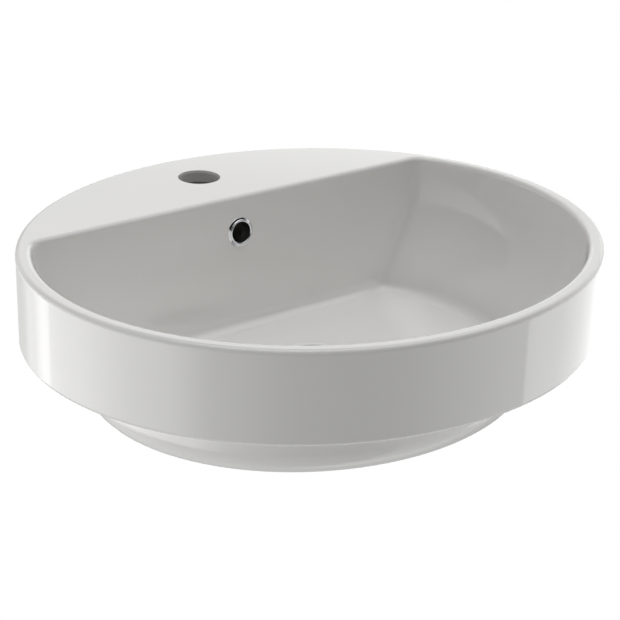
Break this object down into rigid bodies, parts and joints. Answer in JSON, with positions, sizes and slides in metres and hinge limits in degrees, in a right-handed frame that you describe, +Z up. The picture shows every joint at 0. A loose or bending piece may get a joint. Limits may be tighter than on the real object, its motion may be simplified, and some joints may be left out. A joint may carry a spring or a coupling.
{
  "type": "semi recessed basin",
  "caption": "Oval white china basin that sits half above a worktop, with a tap deck, an overflow ring and a push-to-open waste.",
  "frame": {"origin": "centre of the oval on the worktop plane, which is the underside of the drum", "axes": "+Z up, -Y towards the user, +Y towards the tap deck, +X to the right for someone looking along +Y"},
  "size_m": [0.46, 0.4168, 0.1778],
  "materials": {
    "china": "gloss",
    "chrome": "polished",
    "brass": "machined",
    "rubber": "matt",
    "slip_plastic": "matt",
    "sleeve_plastic": "matt",
    "cam_plastic": "satin",
    "steel": "drawn wire"
  },
  "bodies": {
    "basin": {"basin_body": "china", "overflow_ring": "chrome", "overflow_sleeve": "sleeve_plastic", "waste_body": "chrome", "flange_seal": "rubber", "outlet_washer": "rubber", "slip_washer": "slip_plastic", "backnut": "brass", "cartridge_core": "brass", "stud_locknut": "brass", "cartridge_spring": "steel"},
    "plug": {"plug_cap": "chrome", "plug_ring": "rubber", "cartridge_sleeve": "cam_plastic", "retaining_clip": "steel"},
    "rotor": {"cam_rotor": "cam_plastic"}
  },
  "joints": [
    {"name": "plug_lift", "type": "slide", "parent": "basin", "child": "plug", "axis": [0, 0, 1], "range_m": [0, 0.008], "deforming": ["cartridge_spring"]},
    {"name": "rotor_turn", "type": "hinge", "parent": "basin", "child": "rotor", "pos_m": [0, -0.005, -0.0587], "axis": [0, 0, 1], "continuous": true}
  ]
}
